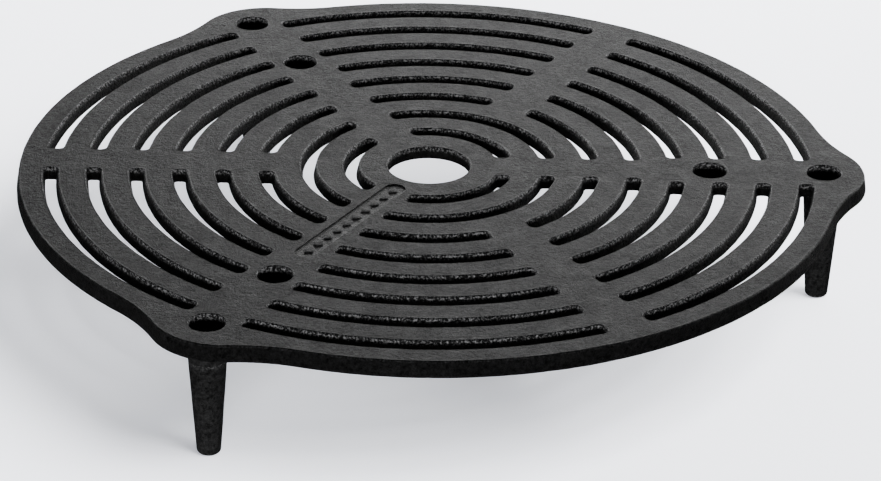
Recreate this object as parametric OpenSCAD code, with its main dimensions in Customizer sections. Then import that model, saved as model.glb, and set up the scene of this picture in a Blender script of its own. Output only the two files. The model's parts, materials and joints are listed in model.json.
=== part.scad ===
// Round cast-iron grate on three legs. The plate has rings of slots between radial spokes,
// three lobes over the legs, and round recesses in the lobes and spokes that hold the feet
// of a second grate stacked on top. The origin is on the plate's axis at floor level, and
// +X runs through one lobe.

/* [Plate] */
// Height of the flat top face above the floor
height = 55.4; // [40:0.5:70]
// Radius of the plate between the lobes
plate_r = 166.4; // [163:0.1:168]
// Thickness of the slotted field
plate_t = 5.4; // [4.6:0.1:6]
// Depth of the thicker rim and of the lobes
rim_t = 7; // [6.6:0.1:8]

/* [Lobes and recesses] */
// Radius of the circle through the legs and the outer recesses
leg_circle = 160; // [158:0.5:162]
// Radius of the circle through the inner recesses
inner_circle = 113.8; // [112:0.2:115]
// Distance from the plate's axis to the middle of a lobe's curve
lobe_circle = 147; // [145:0.5:149]
// Radius of each lobe's curve
lobe_r = 30.4; // [29:0.1:32]
// Radius of the hollow curve between a lobe and the plate's edge
lobe_fillet = 74; // [60:1:90]
// Radius of each recess
recess_r = 7; // [6:0.1:7.6]
// Depth of each recess
recess_depth = 4.6; // [3:0.1:4.8]
// Bevel round each recess
recess_bevel = 0.6; // [0.2:0.1:1]
// Radius of the pad under each inner recess
pad_r = 10; // [9:0.1:10.4]
// Radius of the pad under each lobe
lobe_pad_r = 11.5; // [10:0.1:12]

/* [Centre hole] */
// Radius of the hole
hole_r = 16.7; // [12:0.1:18]
// Bevel round the hole's upper edge
hole_bevel = 0.8; // [0.5:0.1:2]

/* [Slots] */
// Centre radius of the first ring of slots
slot_ring_r = 31.5; // [30:0.1:32]
// Distance from one ring to the next
slot_pitch = 17.3; // [17:0.1:17.4]
// Number of rings
slot_rings = 8; // [4:1:8]
// Rings that only the three lobe spokes cross, counted from the centre
open_rings = 2; // [0:1:3]
// Slot width at the top face
slot_top_w = 6.6; // [5:0.1:8]
// Slot width at the underside of the field
slot_low_w = 4; // [3:0.1:5]
// Rings crossed by the narrow part of a lobe spoke
narrow_rings = 4; // [1:1:4]
// Half the width of a lobe spoke's narrow part, at the top
spoke_half = 8.3; // [6:0.1:10]
// Half the width of a lobe spoke's wide part, at the top
wide_spoke_half = 11.1; // [10.5:0.1:12]
// Half the width of the spokes between the lobes, at the top
mid_spoke_half = 8.7; // [6:0.1:10]

/* [Maker's panel] */
// Length of the plain sunk panel on one lobe spoke
panel_l = 74; // [40:1:76]
// Width of the panel
panel_w = 9; // [4:0.5:10]
// Depth of the panel
panel_depth = 0.5; // [0.2:0.1:1]
// Distance from the centre to the panel's near end
panel_start = 22; // [21:0.5:24]

/* [Legs] */
// Radius of a leg where it leaves the lobe
leg_root_r = 8; // [7:0.1:9]
// Radius of a leg just above the foot's rounded edge
foot_r = 4.6; // [4:0.1:5.5]
// Height of the boss under each lobe that the leg screws onto
boss_h = 8; // [6:0.5:12]
// Height of the rounded edge of the foot
foot_edge = 1.5; // [0.5:0.1:2]
// Radius of the stud that joins a leg to its boss
stud_r = 3; // [2.5:0.5:3]
// Length of the stud inside the boss
stud_up = 7; // [5:0.5:7]
// Length of the stud inside the leg
stud_down = 14; // [10:1:20]

/* [Hidden] */
$fn = 144;
over = 1;
blind_gap = 1;
lobes = 3;
turn = 360 / lobes;
field_z = height - plate_t;
rim_z = height - rim_t;
boss_z = rim_z - boss_h;
slot_slope = (slot_top_w - slot_low_w) / 2 / plate_t;
// How far the lip under the rim slopes outward
lip_slope = 2;
last_ring_r = slot_ring_r + slot_pitch * (slot_rings - 1);
lip_r = last_ring_r + slot_top_w / 2;
// The hollow curve cuts this far into the disc and the lobe, so that no surfaces only touch
bite = 0.1;
// The web between disc and lobe starts this far inside the edge of each
web_overlap_disc = 6.5;
web_overlap_lobe = 12;
// Share of the foot's rounded edge that its lowest bevel takes
foot_bevel = foot_edge * 0.3;
web_lobe_r = lobe_r + lobe_fillet - bite;
web_centre_r = plate_r + lobe_fillet - bite;
web_angle = acos((web_centre_r ^ 2 + lobe_circle ^ 2 - web_lobe_r ^ 2) / (2 * web_centre_r * lobe_circle));
iron = [0.17, 0.17, 0.18];
steel = [0.55, 0.56, 0.58];

// Radius of a leg, or of the boss above it, at height z
function leg_r(z) = foot_r + (leg_root_r - foot_r) * z / rim_z;

module at_lobe(index, r = leg_circle) {
    rotate([0, 0, index * turn])
        translate([r, 0, 0])
            children();
}

module each_lobe(r = leg_circle) {
    for (i = [0:lobes - 1])
        at_lobe(i, r)
            children();
}

// The outline of the disc with its three lobes and the hollow curves beside them
module outline() {
    circle(r = plate_r);
    each_lobe(lobe_circle) circle(r = lobe_r);
    for (i = [0:lobes - 1])
        rotate(i * turn) {
            web();
            mirror([0, 1]) web();
        }
}

// One side of the web between a lobe and the disc, in the lobe spoke's own frame
module web() {
    inside = plate_r - web_overlap_disc;
    difference() {
        polygon([
            [lobe_circle - web_overlap_lobe, 0], [lobe_circle, 0],
            web_centre_r * [cos(web_angle), sin(web_angle)],
            inside * [cos(web_angle), sin(web_angle)]
        ]);
        translate(web_centre_r * [cos(web_angle), sin(web_angle)])
            circle(r = lobe_fillet);
    }
}

// The space under the slotted field, which leaves the rim, the lobes and the pads thicker
module underside_pocket() {
    difference() {
        translate([0, 0, rim_z - over])
            cylinder(
                h = field_z - rim_z + over,
                r1 = lip_r + lip_slope * (1 + over / (field_z - rim_z)),
                r2 = lip_r
            );
        each_lobe()
            translate([0, 0, rim_z - 2 * over])
                cylinder(h = rim_t, r = lobe_pad_r);
        each_lobe(inner_circle)
            translate([0, 0, rim_z - 2 * over])
                cylinder(h = rim_t, r = pad_r);
    }
}

// One ring of space, narrower towards the bottom
module slot_ring(r) {
    top_half = slot_top_w / 2 + slot_slope * over;
    low_half = slot_top_w / 2 - slot_slope * (rim_t + over);
    rotate_extrude()
        polygon([
            [r - top_half, height + over], [r + top_half, height + over],
            [r + low_half, rim_z - over], [r - low_half, rim_z - over]
        ]);
}

// A bar along +X that keeps a spoke solid where it crosses slot rings from r_in to r_out
module spoke(top_half, r_in, r_out) {
    up_half = top_half - slot_slope * 2 * over;
    low_half = top_half + slot_slope * (rim_t + 2 * over);
    translate([r_in, 0, 0])
        rotate([90, 0, 90])
            linear_extrude(r_out - r_in)
                polygon([
                    [-up_half, height + 2 * over], [up_half, height + 2 * over],
                    [low_half, rim_z - 2 * over], [-low_half, rim_z - 2 * over]
                ]);
}

module slots() {
    step_r = slot_ring_r + slot_pitch * (narrow_rings - 0.5);
    out_r = last_ring_r + slot_pitch;
    for (i = [0:slot_rings - 1])
        difference() {
            slot_ring(slot_ring_r + slot_pitch * i);
            for (a = [0:turn:359])
                rotate([0, 0, a])
                    if (i < narrow_rings)
                        spoke(spoke_half, 0, step_r);
                    else
                        spoke(wide_spoke_half, step_r, out_r);
            if (i >= open_rings)
                for (a = [turn / 2:turn:359])
                    rotate([0, 0, a])
                        spoke(mid_spoke_half, 0, out_r);
        }
}

module recess() {
    translate([0, 0, height - recess_depth])
        cylinder(h = recess_depth + over, r = recess_r);
    translate([0, 0, height - recess_bevel])
        cylinder(h = recess_bevel * 2, r1 = recess_r, r2 = recess_r + recess_bevel * 2);
}

module centre_hole() {
    translate([0, 0, rim_z])
        cylinder(h = rim_t + over, r = hole_r);
    translate([0, 0, height - hole_bevel])
        cylinder(h = hole_bevel * 2, r1 = hole_r, r2 = hole_r + hole_bevel * 2);
}

// The plain sunk panel with round ends, on the front left spoke
module panel() {
    translate([0, 0, height - panel_depth])
        linear_extrude(panel_depth + over) {
            translate([panel_start + panel_w / 2, -panel_w / 2])
                square([panel_l - panel_w, panel_w]);
            for (x = [panel_w / 2, panel_l - panel_w / 2])
                translate([panel_start + x, 0])
                    circle(r = panel_w / 2);
        }
}

module grate_plate() {
    color(iron)
        difference() {
            union() {
                translate([0, 0, rim_z])
                    linear_extrude(rim_t)
                        outline();
                each_lobe()
                    translate([0, 0, boss_z])
                        cylinder(h = boss_h + over, r1 = leg_r(boss_z), r2 = leg_r(rim_z + over));
            }
            underside_pocket();
            slots();
            centre_hole();
            each_lobe() recess();
            each_lobe(inner_circle) recess();
            each_lobe()
                translate([0, 0, boss_z - over])
                    cylinder(h = stud_up + blind_gap + over, r = stud_r);
            rotate([0, 0, 2 * turn]) panel();
        }
}

module leg() {
    color(iron)
        difference() {
            rotate_extrude()
                polygon([
                    [0, 0], [foot_r - foot_edge, 0], [foot_r - foot_bevel, foot_bevel],
                    [leg_r(foot_edge), foot_edge], [leg_r(boss_z), boss_z], [0, boss_z]
                ]);
            translate([0, 0, boss_z - stud_down - blind_gap])
                cylinder(h = stud_down + blind_gap + over, r = stud_r);
        }
}

module stud() {
    color(steel)
        translate([0, 0, boss_z - stud_down])
            cylinder(h = stud_up + stud_down, r = stud_r);
}

grate_plate();
at_lobe(0) leg();  // leg_right
at_lobe(1) leg();  // leg_back_left
at_lobe(2) leg();  // leg_front_left
at_lobe(0) stud();  // stud_right
at_lobe(1) stud();  // stud_back_left
at_lobe(2) stud();  // stud_front_left
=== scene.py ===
import json
import math

import bpy
from mathutils import Matrix, Vector, noise
from mathutils.geometry import delaunay_2d_cdt

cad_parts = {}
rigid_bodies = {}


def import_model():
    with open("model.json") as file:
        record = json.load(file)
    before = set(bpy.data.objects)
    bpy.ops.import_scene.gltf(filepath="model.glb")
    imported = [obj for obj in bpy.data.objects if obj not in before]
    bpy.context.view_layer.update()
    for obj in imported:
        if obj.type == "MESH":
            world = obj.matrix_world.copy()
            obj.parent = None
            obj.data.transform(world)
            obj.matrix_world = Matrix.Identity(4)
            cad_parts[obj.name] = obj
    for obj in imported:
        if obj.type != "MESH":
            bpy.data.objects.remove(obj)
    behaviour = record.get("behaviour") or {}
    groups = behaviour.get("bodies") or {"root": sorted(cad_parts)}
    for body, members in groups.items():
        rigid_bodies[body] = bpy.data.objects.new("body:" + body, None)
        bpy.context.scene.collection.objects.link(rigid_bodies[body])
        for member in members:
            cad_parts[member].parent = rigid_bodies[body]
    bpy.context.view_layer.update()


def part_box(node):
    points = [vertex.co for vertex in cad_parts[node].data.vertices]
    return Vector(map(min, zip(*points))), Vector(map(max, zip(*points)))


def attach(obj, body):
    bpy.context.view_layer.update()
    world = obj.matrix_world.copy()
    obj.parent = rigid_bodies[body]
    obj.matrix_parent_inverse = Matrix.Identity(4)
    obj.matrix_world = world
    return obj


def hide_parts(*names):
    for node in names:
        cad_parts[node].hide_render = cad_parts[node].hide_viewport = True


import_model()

# Sizes are in metres. The origin is on the plate's axis at floor level.
MM = 0.001
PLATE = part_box("grate_plate")
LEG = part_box("leg_right")
TOP = PLATE[1][2]
LOBE_TURN = math.radians(120)
LOBES = {"right": 0.0, "back_left": LOBE_TURN, "front_left": 2 * LOBE_TURN}

# Plate outline. The wall leans out by LEAN from the top edge to the bottom one.
LEG_CIRCLE = (LEG[0][0] + LEG[1][0]) / 2
INNER_CIRCLE = 113.8 * MM
LEAN = 1.0 * MM
LOBE_CIRCLE = 147 * MM
LOBE_R = PLATE[1][0] - LOBE_CIRCLE - LEAN
PLATE_R = 165.4 * MM
LOBE_FILLET = 75 * MM
FIELD_T = 5.4 * MM
RIM_T = 7.0 * MM
LEG_TOP = LEG[1][2]

# Slots
RING_R = 31.5 * MM
RING_PITCH = 17.3 * MM
RINGS = 8
OPEN_RINGS = 2
NARROW_RINGS = 4
SLOT_HALF = 3.3 * MM
SLOT_NARROWING = 1.3 * MM
SLOT_SLOPE = math.atan(SLOT_NARROWING / FIELD_T)
SLOT_CORNER = 2.4 * MM
SPOKE_HALF = 8.3 * MM
WIDE_SPOKE_HALF = 11.1 * MM
MID_SPOKE_HALF = 8.7 * MM

# Holes and recesses
HOLE_R = 16.7 * MM
RECESS_R = 7.0 * MM
RECESS_DEPTH = 4.6 * MM
RECESS_DIP = 0.15 * MM
PAD_R = 10.0 * MM
LOBE_PAD_R = 11.5 * MM
LIP_R = RING_R + RING_PITCH * (RINGS - 1) + SLOT_HALF
LIP_RUN = 2.0 * MM

# Sunk panel on the front left spoke
PANEL_START = 22 * MM
PANEL_LENGTH = 74 * MM
PANEL_HALF = 4.5 * MM
PANEL_DEPTH = 0.5 * MM
DIAMONDS = 10
DIAMOND_LONG = 2.6 * MM
DIAMOND_WIDE = 2.3 * MM
DIAMOND_INSET = 6 * MM

# Legs
ROOT_R = 8.0 * MM
FOOT_R = 4.6 * MM
FOOT_EDGE = 1.5 * MM
SEAM = 0.15 * MM

# Rounded edges
RIM_TOP_ROUND = 1.1 * MM
RIM_LOW_ROUND = 1.0 * MM
SLOT_TOP_ROUND = 0.9 * MM
LOW_ROUND = 0.5 * MM
HOLE_TOP_ROUND = 1.0 * MM
RECESS_TOP_ROUND = 0.7 * MM
RECESS_FLOOR_ROUND = 1.2 * MM
PANEL_TOP_ROUND = 0.2 * MM
PANEL_FLOOR_ROUND = 0.15 * MM
BOSS_FILLET = 0.9 * MM
DRAFT = 0.02
EDGE_SEGMENTS = 5

# Painted glints lie between these depths on the walls of slots, hole and recesses
GLINT_TOP = 0.2 * MM
GLINT_DEPTH = 1.8 * MM
# How strongly the rim's own edges are rubbed bright and given painted highlight and painted glints, where
# a slot's edge is 1
RIM_WEAR_AND_SHEEN = 0.12
# How strongly the feet's edges are rubbed bright and given painted highlight
FOOT_WEAR_AND_SHEEN = 0.8
# How much of a cast wall's painted shade, painted glints, roughness and coarse bump a leg has
LEG_WALL = 0.3
# How far a cast wall strays from its drawn line
RIM_WOBBLE = 0.1 * MM
SLOT_WOBBLE = 0.12 * MM
LEG_WOBBLE = 0.06 * MM


def polar(r, angle):
    return Vector((r * math.cos(angle), r * math.sin(angle)))


def steps(a, b, count):
    return [a + (b - a) * i / count for i in range(count + 1)]


# ---- Outlines: lists of (point, outward normal), counter-clockwise ----

def arc(centre, radius, a, b, spacing=2.4 * MM, least=5, inward=False):
    """Points from angle a to angle b, with normals away from the centre or towards it."""
    count = max(least, round(abs(b - a) * radius / spacing))
    side = -1 if inward else 1
    return [(centre + polar(radius, t), polar(side, t)) for t in steps(a, b, count)]


def slot_outline(ring_r, start, start_half, end, end_half):
    """A slot from the spoke at angle start to the spoke at angle end."""
    c = SLOT_CORNER
    outer, inner = ring_r + SLOT_HALF - c, ring_r - SLOT_HALF + c

    def corner(r, spoke, half, side):
        across = half + c
        return spoke + side * math.asin(across / r)

    s_out, s_in = corner(outer, start, start_half, 1), corner(inner, start, start_half, 1)
    e_out, e_in = corner(outer, end, end_half, -1), corner(inner, end, end_half, -1)
    quarter = math.pi / 2
    middle = Vector((0, 0))
    points = arc(polar(outer, s_out), c, start - quarter, s_out, least=6)
    points += arc(middle, ring_r + SLOT_HALF, s_out, e_out)[1:]
    points += arc(polar(outer, e_out), c, e_out, end + quarter, least=6)[1:]
    points += arc(polar(inner, e_in), c, end + quarter, e_in + 2 * quarter, least=6)
    points += arc(middle, ring_r - SLOT_HALF, e_in, s_in, inward=True)[1:]
    points += arc(polar(inner, s_in), c, s_in + 2 * quarter, start + 3 * quarter, least=6)[1:]
    return points


def slot_outlines():
    found = []
    for i in range(RINGS):
        ring_r = RING_R + RING_PITCH * i
        half = SPOKE_HALF if i < NARROW_RINGS else WIDE_SPOKE_HALF
        for spoke in LOBES.values():
            following = spoke + LOBE_TURN
            if i < OPEN_RINGS:
                found.append(slot_outline(ring_r, spoke, half, following, half))
                continue
            between = spoke + LOBE_TURN / 2
            found.append(slot_outline(ring_r, spoke, half, between, MID_SPOKE_HALF))
            found.append(slot_outline(ring_r, between, MID_SPOKE_HALF, following, half))
    return found


def swing_to(a, b, clockwise=False):
    """The angle that equals b and lies ahead of a in the given sense."""
    ahead = (b - a) % (2 * math.pi)
    return a + ahead - 2 * math.pi * clockwise


def plate_outline():
    """The disc, its three lobes, and the hollow curves between them."""
    web_r = PLATE_R + LOBE_FILLET
    reach = LOBE_R + LOBE_FILLET
    swing = math.acos((web_r**2 + LOBE_CIRCLE**2 - reach**2) / (2 * web_r * LOBE_CIRCLE))
    back = math.pi
    points = []
    for spoke in LOBES.values():
        lobe = polar(LOBE_CIRCLE, spoke)
        low, high = polar(web_r, spoke - swing), polar(web_r, spoke + swing)
        low_angle = math.atan2(*(low - lobe).yx)
        high_angle = swing_to(low_angle, math.atan2(*(high - lobe).yx))
        start, end = spoke - swing + back, swing_to(spoke - swing + back, low_angle + back, True)
        points += arc(low, LOBE_FILLET, start, end, inward=True)[1:]
        points += arc(lobe, LOBE_R, low_angle, high_angle, spacing=1.6 * MM)[1:]
        start, end = high_angle + back, swing_to(high_angle + back, spoke + swing + back, True)
        points += arc(high, LOBE_FILLET, start, end, inward=True)[1:]
        points += arc(Vector((0, 0)), PLATE_R, spoke + swing, spoke + LOBE_TURN - swing)[1:]
    return points


def circle_outline(centre, radius, count):
    turn = 2 * math.pi
    return [(centre + polar(radius, turn * i / count), polar(1, turn * i / count)) for i in range(count)]


def panel_outline(turn):
    """A slot shape with round ends along the spoke at angle turn."""
    along = polar(1, turn)
    near, far = along * (PANEL_START + PANEL_HALF), along * (PANEL_START + PANEL_LENGTH - PANEL_HALF)
    quarter = math.pi / 2
    points = arc(far, PANEL_HALF, turn - quarter, turn + quarter, least=14)
    points += arc(near, PANEL_HALF, turn + quarter, turn + 3 * quarter, least=14)
    return points


def diamond_outlines(turn):
    """A plain row of raised diamonds along the floor of the sunk panel."""
    along, across = polar(1, turn), polar(1, turn + math.pi / 2)
    first, last = PANEL_START + DIAMOND_INSET, PANEL_START + PANEL_LENGTH - DIAMOND_INSET
    corners = [across * -DIAMOND_WIDE, along * DIAMOND_LONG, across * DIAMOND_WIDE, along * -DIAMOND_LONG]
    found = []
    for x in steps(first, last, DIAMONDS - 1):
        outline = []
        for a, b in zip(corners, corners[1:] + corners[:1]):
            side = (b - a).normalized()
            normal = Vector((side.y, -side.x))
            outline += [(along * x + a.lerp(b, t), normal) for t in (0.12, 0.5, 0.88)]
        found.append(outline)
    return found


def lip_outline():
    """Where the thicker rim begins, seen from below, with a pad under each lobe."""
    points = []
    count = 720
    for i in range(count):
        angle = 2 * math.pi * i / count
        off = (angle + LOBE_TURN / 2) % LOBE_TURN - LOBE_TURN / 2
        across = LEG_CIRCLE * math.sin(off)
        r = LIP_R
        if abs(across) < LOBE_PAD_R:
            pad = LEG_CIRCLE * math.cos(off) - math.sqrt(LOBE_PAD_R**2 - across**2)
            gap = 1.2 * MM
            mix = max(0.0, min(1.0, 0.5 + (LIP_R - pad) / (2 * gap)))
            r = LIP_R + (pad - LIP_R) * mix - gap * mix * (1 - mix) / 2
        points.append((polar(r, angle), polar(1, angle)))
    return points


# ---- Profiles: lists of (reach into the open space, depth below the top, edge, wall) ----

def rounded_edge_profile(
        depth, slope, top_round, low_round, segments=EDGE_SEGMENTS, wall_steps=2):
    """A wall that leans into the open space by slope, with both of its edges rounded."""
    profile = []
    lean, up = math.tan(slope), math.sin(slope)
    d = top_round * (1 - up)
    centre = lean * d - top_round * math.cos(slope)
    for i, t in enumerate(steps(math.pi / 2, slope, segments)):
        edge = math.sin(math.pi * i / segments)
        reach = centre + top_round * math.cos(t)
        profile.append((reach, top_round * (1 - math.sin(t)), edge, i / segments))
    low_d = depth - low_round * (1 + up)
    for d in steps(profile[-1][1], low_d, wall_steps + 1)[1:-1]:
        profile.append((lean * d, d, 0.0, 1.0))
    centre = lean * low_d - low_round * math.cos(slope)
    for i, t in enumerate(steps(slope, -math.pi / 2, segments)):
        edge = 0.6 * math.sin(math.pi * i / segments)
        reach = centre + low_round * math.cos(t)
        profile.append((reach, depth - low_round * (1 + math.sin(t)), edge, 1 - i / segments))
    return profile


def with_painted_glints(profile):
    """The same wall with its upper part marked as edge, where bright glints are painted into the colour.
    """
    def mark(d, edge):
        return max(edge, 0.9 * min(max(1.25 - d / GLINT_DEPTH, 0), 1)) if d > GLINT_TOP else edge
    return [(reach, d, mark(d, edge), wall) for reach, d, edge, wall in profile]


def recess_profile(depth, top_round, floor_round):
    """A blind recess: rounded mouth, steep wall and a round fillet down to the floor."""
    mouth_only = EDGE_SEGMENTS + 1
    profile = rounded_edge_profile(depth * 3, DRAFT, top_round, top_round)[:mouth_only]
    reach = profile[-1][0]
    centre_d = depth - floor_round
    profile.append((reach + DRAFT * centre_d, centre_d, 0.0, 1.0))
    for t in steps(0, math.pi / 2, EDGE_SEGMENTS)[1:]:
        in_by = reach + DRAFT * centre_d + floor_round * (1 - math.cos(t))
        profile.append((in_by, centre_d + floor_round * math.sin(t), 0.0, 1.0))
    return profile


# ---- Mesh building ----

def inside(point, outline):
    """True if the point is inside the closed outline, by counting the edges to its right."""
    odd = False
    for a, b in zip(outline, outline[1:] + outline[:1]):
        if (a[1] > point.y) != (b[1] > point.y):
            cross = a[0] + (point.y - a[1]) * (b[0] - a[0]) / (b[1] - a[1])
            odd ^= cross > point.x
    return odd


class Builder:
    """Collects vertices, faces and the two shading values of each vertex."""

    def __init__(self):
        self.points, self.edge, self.wall = [], [], []
        self.faces, self.flat = [], []

    def vertex(self, x, y, z, edge=0.0, wall=0.0):
        self.points.append((x, y, z))
        self.edge.append(edge)
        self.wall.append(wall)
        return len(self.points) - 1

    def face(self, loop, flat=False):
        self.faces.append(loop)
        self.flat.append(flat)

    def bridge(self, upper, lower, outward):
        """Quads between two loops; outward says that the solid is inside the loops."""
        n = len(upper)
        for i in range(n):
            j = (i + 1) % n
            quad = (upper[i], lower[i], lower[j], upper[j])
            self.face(quad if outward else quad[::-1])

    def wall_of(self, outline, profile, top, sign, wobble=0.0):
        """Loops of an outline down a profile. sign is 1 for an outer wall, -1 for a hole's."""
        loops = []
        for reach, depth, edge, wall in profile:
            loop = []
            for p, n in outline:
                stray = 0.0
                if wobble:
                    stray = wobble * noise.noise(Vector((p.x, p.y, depth * 2)) * 160)
                q = p + n * (sign * reach + stray)
                loop.append(self.vertex(q.x, q.y, top - depth, edge, wall))
            loops.append(loop)
        for upper, lower in zip(loops, loops[1:]):
            self.bridge(upper, lower, sign > 0)
        return loops[0], loops[-1]

    def fill(self, outer, holes, up):
        """A flat face inside the loop outer and outside the loops in holes."""
        index, coords, edges, owner = [], [], [], []
        for number, loop in enumerate([outer] + holes):
            first = len(index)
            index += loop
            owner += [number] * len(loop)
            coords += [Vector(self.points[v][:2]) for v in loop]
            edges += [(first + i, first + (i + 1) % len(loop)) for i in range(len(loop))]
        found = delaunay_2d_cdt(coords, edges, [], 1, 1e-9)
        if len(found[0]) != len(coords):
            raise RuntimeError("a flat face's outlines cross")
        outlines = [[self.points[v] for v in loop] for loop in holes]
        origin = [o[0] for o in found[3]]
        for face in found[2]:
            corners = [origin[v] for v in face]
            owners = {owner[c] for c in corners}
            if len(owners) == 1 and 0 not in owners:
                middle = sum((coords[c] for c in corners), Vector((0, 0))) / 3
                if inside(middle, outlines[owners.pop() - 1]):
                    continue
            loop = [index[c] for c in corners]
            self.face(loop if up else loop[::-1], flat=True)

    def cap(self, loop, up, dip=0.0):
        """Closes a round loop with a fan whose middle is sunk by dip."""
        xs, ys, zs = zip(*[self.points[v] for v in loop])
        n = len(loop)
        middle = self.vertex(sum(xs) / n, sum(ys) / n, sum(zs) / n - dip, 0.0, self.wall[loop[0]])
        for i in range(n):
            tri = (loop[i], loop[(i + 1) % n], middle)
            self.face(tri if up else tri[::-1])

    def build(self, name):
        mesh = bpy.data.meshes.new(name)
        mesh.from_pydata(self.points, [], self.faces)
        for label, values in (("edge", self.edge), ("wall", self.wall)):
            attribute = mesh.attributes.new(label, "FLOAT", "POINT")
            attribute.data.foreach_set("value", values)
        mesh.polygons.foreach_set("use_smooth", [not f for f in self.flat])
        mesh.validate()
        piece = bpy.data.objects.new(name, mesh)
        bpy.context.scene.collection.objects.link(piece)
        return piece


def leg_radius(z):
    return FOOT_R + (ROOT_R - FOOT_R) * z / (TOP - RIM_T)


def build_plate():
    b = Builder()
    rim_z = TOP - RIM_T

    rim = rounded_edge_profile(RIM_T, math.atan(LEAN / RIM_T), RIM_TOP_ROUND, RIM_LOW_ROUND)
    rim = [(reach, d, edge * RIM_WEAR_AND_SHEEN, wall) for reach, d, edge, wall in rim]
    outer_top, outer_low = b.wall_of(plate_outline(), rim, TOP, 1, RIM_WOBBLE)

    slot = rounded_edge_profile(FIELD_T, SLOT_SLOPE, SLOT_TOP_ROUND, LOW_ROUND, wall_steps=4)
    slot = with_painted_glints(slot)
    slot_loops = [b.wall_of(outline, slot, TOP, -1, SLOT_WOBBLE) for outline in slot_outlines()]

    hole = with_painted_glints(rounded_edge_profile(FIELD_T, DRAFT, HOLE_TOP_ROUND, LOW_ROUND, 7, 5))
    hole_top, hole_low = b.wall_of(circle_outline(Vector((0, 0)), HOLE_R, 96), hole, TOP, -1)

    top_holes = [loops[0] for loops in slot_loops] + [hole_top]
    recess = with_painted_glints(recess_profile(RECESS_DEPTH, RECESS_TOP_ROUND, RECESS_FLOOR_ROUND))
    for spoke in LOBES.values():
        for r in (LEG_CIRCLE, INNER_CIRCLE):
            outline = circle_outline(polar(r, spoke), RECESS_R, 56)
            mouth, floor = b.wall_of(outline, recess, TOP, -1)
            b.cap(floor, True, RECESS_DIP)
            top_holes.append(mouth)

    panel = recess_profile(PANEL_DEPTH, PANEL_TOP_ROUND, PANEL_FLOOR_ROUND)
    mouth, floor = b.wall_of(panel_outline(LOBES["front_left"]), panel, TOP, -1)
    top_holes.append(mouth)
    stud = [(0.3 * MM, PANEL_DEPTH, 0, 0.6), (0.1 * MM, PANEL_DEPTH - 0.1 * MM, 0, 0.6),
            (-0.1 * MM, 0.15 * MM, 0.6, 0), (-0.4 * MM, 0.05 * MM, 0, 0)]
    studs = []
    for outline in diamond_outlines(LOBES["front_left"]):
        tip, root = b.wall_of(outline, stud[::-1], TOP, 1)
        b.cap(tip, True)
        studs.append(root)
    b.fill(floor, studs, True)
    b.fill(outer_top, top_holes, True)

    # Underside: the thinner field, the sloping lip, the rim, the pads and the bosses
    lip = lip_outline()
    lip_profile = [(0, FIELD_T, 0, 0), (LIP_RUN * 0.15, FIELD_T + 0.1 * MM, 0, 0),
                   (LIP_RUN * 0.85, RIM_T - 0.1 * MM, 0, 0), (LIP_RUN, RIM_T, 0, 0)]
    field_edge, rim_edge = b.wall_of(lip, [(-r, d, e, w) for r, d, e, w in lip_profile], TOP, -1)
    low_holes = [loops[1] for loops in slot_loops] + [hole_low]
    pad = [(0.5 * MM, FIELD_T, 0, 0), (0.1 * MM, FIELD_T + 0.3 * MM, 0, 0),
           (0, RIM_T - 0.5 * MM, 0, 0), (-0.4 * MM, RIM_T, 0, 0)]
    for spoke in LOBES.values():
        outline = circle_outline(polar(INNER_CIRCLE, spoke), PAD_R - 0.6 * MM, 64)
        root, tip = b.wall_of(outline, pad, TOP, 1)
        b.cap(tip, False)
        low_holes.append(root)
    b.fill(field_edge, low_holes, False)

    boss_holes = []
    boss = [(BOSS_FILLET * (1 - math.sin(t)), RIM_T + BOSS_FILLET * (1 - math.cos(t)), 0, 0)
            for t in steps(0, math.pi / 2, EDGE_SEGMENTS)]
    taper = (ROOT_R - FOOT_R) / rim_z
    drop = rim_z - LEG_TOP
    boss += [(-taper * (drop - SEAM), RIM_T + drop - SEAM, 0.5, 0),
             (-taper * drop - SEAM, RIM_T + drop, 0, 0)]
    for spoke in LOBES.values():
        root, tip = b.wall_of(circle_outline(polar(LEG_CIRCLE, spoke), ROOT_R, 64), boss, TOP, 1)
        b.cap(tip, False)
        boss_holes.append(root)
    b.fill(outer_low, [rim_edge] + boss_holes, False)
    return b.build("plate_casting")


def build_leg(name, spoke):
    b = Builder()
    centre = polar(LEG_CIRCLE, spoke)
    shoulder = LEG_TOP - SEAM
    profile = [(leg_radius(LEG_TOP) - SEAM, LEG_TOP, 0), (leg_radius(shoulder), shoulder, 0.5)]
    profile += [(leg_radius(z), z, 0) for z in steps(shoulder, FOOT_EDGE, 18)[1:]]
    side = leg_radius(FOOT_EDGE) - FOOT_EDGE
    for t in steps(0, math.pi / 2, 7)[1:]:
        z = FOOT_EDGE * (1 - math.sin(t))
        profile.append((side + FOOT_EDGE * math.cos(t), z, math.sin(2 * t) * FOOT_WEAR_AND_SHEEN))
    count = 64
    loops = []
    for r, z, edge in profile:
        loop = []
        for i in range(count):
            angle = 2 * math.pi * i / count
            around = polar(10 * MM, angle)
            stray = LEG_WOBBLE * noise.noise(Vector((centre.x + around.x, around.y, z)) * 90)
            # Next to the seam the leg only strays inward, so that it stays under its boss
            if z > LEG_TOP - SEAM * 2:
                stray = min(stray, 0)
            q = centre + polar(r + stray, angle)
            loop.append(b.vertex(q.x, q.y, z, edge, LEG_WALL))
        loops.append(loop)
    for upper, lower in zip(loops, loops[1:]):
        b.bridge(upper, lower, True)
    b.cap(loops[0], True)
    b.cap(loops[-1], False)
    return b.build(name)


# ---- Materials ----

# Noise cells per metre
CLOUD_CELLS = 38
BLOTCH_CELLS = 170
GRAIN_CELLS = 620
SAND_CELLS = 1700
GLINT_CELLS = 1250
STREAK_CELLS = 700
# Tone 1 is plain oiled iron, and a painted glint is this many times as bright
GLINT_TONE = 30.0
# Where tone 1 lies between black and bare grey metal
PLAIN_SHARE = 0.047
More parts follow.
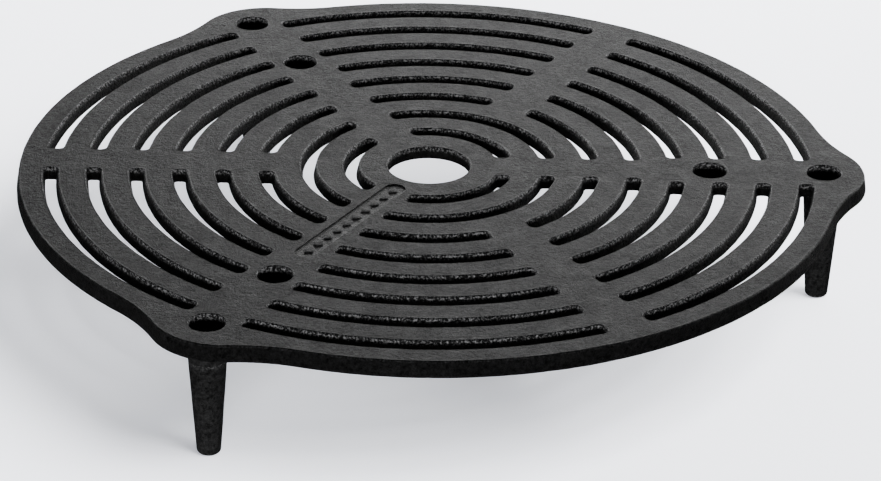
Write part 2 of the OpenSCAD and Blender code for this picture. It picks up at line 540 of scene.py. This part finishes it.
# How much paler edges are, partly from rubbing and partly as painted highlight
RUBBED_AND_HIGHLIGHT_TONE = 0.9
# How dark the walls are made, as painted shade
WALL_SHADE_TONE = 0.5
BUMP_HEIGHT = 1.0 * MM


def new_material(name):
    material = bpy.data.materials.new(name)
    material.use_nodes = True
    nodes, links = material.node_tree.nodes, material.node_tree.links
    return material, nodes, links, nodes["Principled BSDF"]


def noise_texture(nodes, links, where, scale, detail, rough=0.5):
    texture = nodes.new("ShaderNodeTexNoise")
    texture.inputs["Scale"].default_value = scale
    texture.inputs["Detail"].default_value = detail
    texture.inputs["Roughness"].default_value = rough
    links.new(where, texture.inputs["Vector"])
    return texture.outputs["Fac"]


def remap(nodes, links, value, low, high, to_low, to_high):
    node = nodes.new("ShaderNodeMapRange")
    links.new(value, node.inputs["Value"])
    for label, number in zip(("From Min", "From Max", "To Min", "To Max"), (low, high, to_low, to_high)):
        node.inputs[label].default_value = number
    return node.outputs["Result"]


def math_node(nodes, links, operation, a, b):
    node = nodes.new("ShaderNodeMath")
    node.operation = operation
    for socket, value in zip(node.inputs, (a, b)):
        if isinstance(value, (int, float)):
            socket.default_value = value
        else:
            links.new(value, socket)
    return node.outputs[0]


def iron_material():
    """Sand-cast iron, black with burnt-in oil."""
    material, nodes, links, shader = new_material("seasoned_cast_iron")
    where = nodes.new("ShaderNodeTexCoord").outputs["Object"]

    def attribute(name):
        node = nodes.new("ShaderNodeAttribute")
        node.attribute_name = name
        return node.outputs["Fac"]

    def times(a, b):
        return math_node(nodes, links, "MULTIPLY", a, b)

    def plus(a, b):
        return math_node(nodes, links, "ADD", a, b)

    def spread(value, low, high):
        return remap(nodes, links, value, 0.3, 0.7, low, high)

    edge, wall = attribute("edge"), attribute("wall")
    cloud = noise_texture(nodes, links, where, CLOUD_CELLS, 4, 0.6)
    blotch = noise_texture(nodes, links, where, BLOTCH_CELLS, 4, 0.6)
    grain = noise_texture(nodes, links, where, GRAIN_CELLS, 4, 0.7)
    sand = noise_texture(nodes, links, where, SAND_CELLS, 3, 0.7)
    glint_noise = noise_texture(nodes, links, where, GLINT_CELLS, 2, 0.6)

    # Colour: clouds of thicker and thinner oil, dark grain, edges paler partly from rubbing and partly as
    # painted highlight, walls darkened as painted shade, and painted glints of bright colour along the
    # upper part of the walls
    tone = times(spread(cloud, 0.8, 1.2), spread(blotch, 0.8, 1.2))
    tone = times(tone, spread(plus(times(grain, 0.6), times(sand, 0.4)), -0.6, 2.6))
    # Paler edges: partly rubbing, partly painted highlight
    tone = plus(tone, times(times(edge, spread(blotch, 0.0, 1.0)), RUBBED_AND_HIGHLIGHT_TONE))
    # Walls darker: painted shade
    tone = times(tone, remap(nodes, links, wall, 0, 1, 1.0, WALL_SHADE_TONE))
    # Painted glints: bright specks in the colour of the upper walls, standing in for highlights
    painted_glints = remap(nodes, links, glint_noise, 0.48, 0.66, 0.0, GLINT_TONE)
    tone = plus(tone, times(times(wall, edge), painted_glints))
    ramp = nodes.new("ShaderNodeValToRGB")
    ramp.color_ramp.elements[0].color = (0.0, 0.0, 0.0, 1)
    ramp.color_ramp.elements[1].color = (0.5, 0.5, 0.51, 1)
    links.new(times(tone, PLAIN_SHARE), ramp.inputs["Fac"])
    links.new(ramp.outputs["Color"], shader.inputs["Base Color"])

    rough = plus(spread(blotch, 0.52, 0.66), times(wall, -0.26))
    links.new(rough, shader.inputs["Roughness"])
    shader.inputs["Specular IOR Level"].default_value = 0.1

    # Sand texture, coarser and deeper on the walls that the sand cores left rough
    height = plus(plus(grain, times(sand, 0.55)), times(blotch, 0.8))
    surface = nodes.new("ShaderNodeBump")
    surface.inputs["Distance"].default_value = BUMP_HEIGHT
    links.new(remap(nodes, links, wall, 0, 1, 0.75, 1.0), surface.inputs["Strength"])
    links.new(times(height, remap(nodes, links, wall, 0, 1, 1.0, 2.6)), surface.inputs["Height"])
    links.new(surface.outputs["Normal"], shader.inputs["Normal"])
    return material


def steel_material():
    """Turned steel of the hidden studs."""
    material, nodes, links, shader = new_material("turned_steel")
    where = nodes.new("ShaderNodeTexCoord").outputs["Object"]
    streak = noise_texture(nodes, links, where, STREAK_CELLS, 3)
    links.new(remap(nodes, links, streak, 0.3, 0.7, 0.25, 0.45), shader.inputs["Roughness"])
    ramp = nodes.new("ShaderNodeValToRGB")
    ramp.color_ramp.elements[0].color = (0.3, 0.3, 0.31, 1)
    ramp.color_ramp.elements[1].color = (0.55, 0.55, 0.56, 1)
    links.new(streak, ramp.inputs["Fac"])
    links.new(ramp.outputs["Color"], shader.inputs["Base Color"])
    shader.inputs["Metallic"].default_value = 1.0
    return material


def floor_material():
    """Pale paper that glows a little, so that shadows on it stay soft."""
    material, nodes, links, shader = new_material("studio_floor")
    shader.inputs["Base Color"].default_value = (0.76, 0.775, 0.83, 1)
    shader.inputs["Roughness"].default_value = 1.0
    shader.inputs["Specular IOR Level"].default_value = 0.0
    shader.inputs["Emission Color"].default_value = (0.97, 1.0, 1.09, 1)
    shader.inputs["Emission Strength"].default_value = 0.45
    return material


# ---- Studio ----

VIEW_TURN = math.radians(0.533)
VIEW_ELEVATION = math.radians(26.97)
VIEW_ROLL = math.radians(0.911)
VIEW_DISTANCE = 9.2016 * LEG_CIRCLE
VIEW_TARGET = Vector((0.0328, -0.4228, 0)) * LEG_CIRCLE
SENSOR = 36
VIEW_LENS = 154.58


def add_camera():
    data = bpy.data.cameras.new("camera")
    data.sensor_width = SENSOR
    data.sensor_fit = "HORIZONTAL"
    data.lens = VIEW_LENS
    data.clip_end = 100
    camera = bpy.data.objects.new("camera", data)
    bpy.context.scene.collection.objects.link(camera)
    spin = Matrix.Rotation(VIEW_TURN, 3, "Z")
    forward = spin @ Vector((0, math.cos(VIEW_ELEVATION), -math.sin(VIEW_ELEVATION)))
    right = spin @ Vector((1, 0, 0))
    up = right.cross(forward)
    rolled_right = right * math.cos(VIEW_ROLL) + up * math.sin(VIEW_ROLL)
    rolled_up = up * math.cos(VIEW_ROLL) - right * math.sin(VIEW_ROLL)
    place = spin @ VIEW_TARGET + Vector((0, 0, TOP)) - forward * VIEW_DISTANCE
    turn = Matrix((rolled_right, rolled_up, -forward)).transposed()
    camera.matrix_world = Matrix.Translation(place) @ turn.to_4x4()
    bpy.context.scene.camera = camera


def add_area(name, place, size, power):
    data = bpy.data.lights.new(name, "AREA")
    data.shape = "RECTANGLE"
    data.size, data.size_y = size
    data.energy = power
    light = bpy.data.objects.new(name, data)
    bpy.context.scene.collection.objects.link(light)
    light.location = place
    aim = Vector((0, 0, 0)) - Vector(place)
    light.rotation_euler = aim.to_track_quat("-Z", "Y").to_euler()


FLOOR_HALF = 6.0
WORLD_GLOW = 0.06
SUN_POWER = 15
SUN_ANGLE = 0.85
SUN_AIM = Vector((-1.0, 0.3, -1.2))


def add_studio():
    mesh = bpy.data.meshes.new("studio_floor")
    half = FLOOR_HALF
    corners = [(-half, -half, 0), (half, -half, 0), (half, half, 0), (-half, half, 0)]
    mesh.from_pydata(corners, [], [range(4)])
    floor = bpy.data.objects.new("studio_floor", mesh)
    bpy.context.scene.collection.objects.link(floor)
    mesh.materials.append(floor_material())
    # The white floor does not light the iron from below, which stays near black there
    floor.visible_diffuse = False
    floor.visible_glossy = False
    world = bpy.data.worlds.new("studio_world")
    world.use_nodes = True
    background = world.node_tree.nodes["Background"]
    background.inputs["Color"].default_value = (0.97, 0.98, 1.0, 1)
    background.inputs["Strength"].default_value = WORLD_GLOW
    bpy.context.scene.world = world
    add_area("back_softbox", (0.12, 0.5, 0.22), (0.8, 0.22), 4.9)
    add_area("front_strip", (0.1, -1.5, 0.3), (1.0, 0.12), 19)
    add_area("left_strip", (-1.5, -0.5, 0.3), (0.8, 0.12), 4)
    # This light shines on the floor alone, past the iron, and so draws its soft shadow there
    floor_only = bpy.data.collections.new("floor_only")
    floor_only.objects.link(floor)
    sun = bpy.data.lights.new("overhead_softbox", "SUN")
    sun.energy = SUN_POWER
    sun.angle = SUN_ANGLE
    overhead = bpy.data.objects.new("overhead_softbox", sun)
    bpy.context.scene.collection.objects.link(overhead)
    overhead.rotation_euler = SUN_AIM.to_track_quat("-Z", "Y").to_euler()
    overhead.light_linking.receiver_collection = floor_only


# ---- Assembly ----

iron = iron_material()
steel = steel_material()

plate = build_plate()
plate.data.materials.append(iron)
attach(plate, "root")
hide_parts("grate_plate")

for side, spoke in LOBES.items():
    leg = build_leg("leg_casting_" + side, spoke)
    leg.data.materials.append(iron)
    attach(leg, "root")
    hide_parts("leg_" + side)
    stud = bpy.data.objects["stud_" + side]
    for place in stud.material_slots:
        place.material = steel

add_camera()
add_studio()
